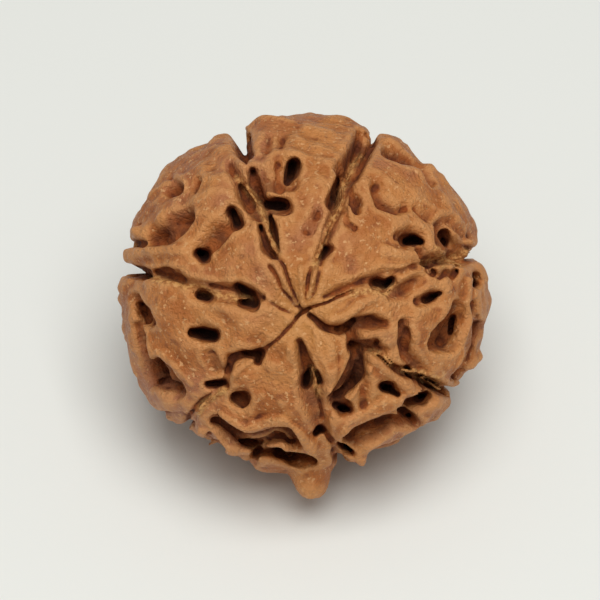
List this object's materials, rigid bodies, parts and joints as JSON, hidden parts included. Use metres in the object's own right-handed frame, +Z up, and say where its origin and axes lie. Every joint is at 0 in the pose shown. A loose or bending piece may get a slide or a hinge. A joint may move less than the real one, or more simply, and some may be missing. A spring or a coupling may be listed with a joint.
{
  "type": "rudraksha seed",
  "caption": "Dried rudraksha seed: a lobed stone with deep radial seams and a raised net of ridges round pits, lying on a small flat spot.",
  "frame": {"origin": "middle of the small flat spot that the seed lies on, straight below the seed's centre", "axes": "+Z up as the seed lies; the apex, where the seams meet, faces forward to -Y and 47 degrees above the horizon; +X to the right of a viewer who faces the apex"},
  "size_m": [0.0232, 0.0214, 0.0214],
  "materials": {
    "seed_shell": "dry woody seed skin, satin on the ridges and dull in the hollows"
  },
  "bodies": {
    "root": {"rudraksha_seed": "seed_shell"}
  },
  "joints": []
}
